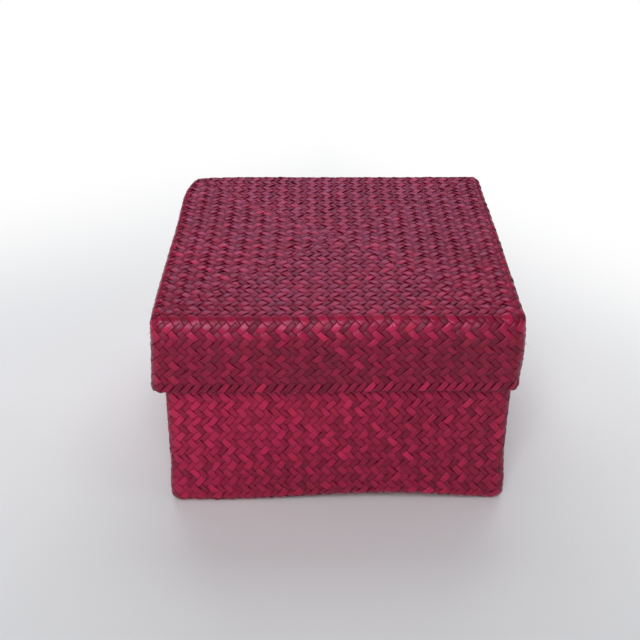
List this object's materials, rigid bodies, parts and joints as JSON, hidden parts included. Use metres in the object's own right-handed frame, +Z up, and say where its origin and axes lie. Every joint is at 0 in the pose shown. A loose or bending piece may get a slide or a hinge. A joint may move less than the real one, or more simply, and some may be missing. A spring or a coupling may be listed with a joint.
{
  "type": "woven lidded box",
  "caption": "Square plaited leaf-strip box with a slip-over lid that lifts off, double-walled, with folded rims; holds keepsakes.",
  "frame": {"origin": "centre of the underside, lid closed", "axes": "+Z up through the lid, X and Y along the walls, -Y is the side that faces the camera"},
  "size_m": [0.2, 0.2, 0.125],
  "materials": {
    "outer_strip": "crimson-dyed leaf strip, satin",
    "lining_strip": "duller crimson-dyed leaf strip, satin",
    "rim_strip": "crimson-dyed leaf strip, folded, satin",
    "cane": "split cane, bare"
  },
  "bodies": {
    "base": {"base_outer_weave": "outer_strip", "base_lining_weave": "lining_strip", "base_rim_fold": "rim_strip", "base_rim_cane": "cane"},
    "lid": {"lid_outer_weave": "outer_strip", "lid_lining_weave": "lining_strip", "lid_rim_fold": "rim_strip", "lid_rim_cane": "cane"}
  },
  "joints": [
    {"name": "lid_lift", "type": "slide", "parent": "base", "child": "lid", "axis": [0, 0, 1], "range_m": [0, 0.1]}
  ]
}
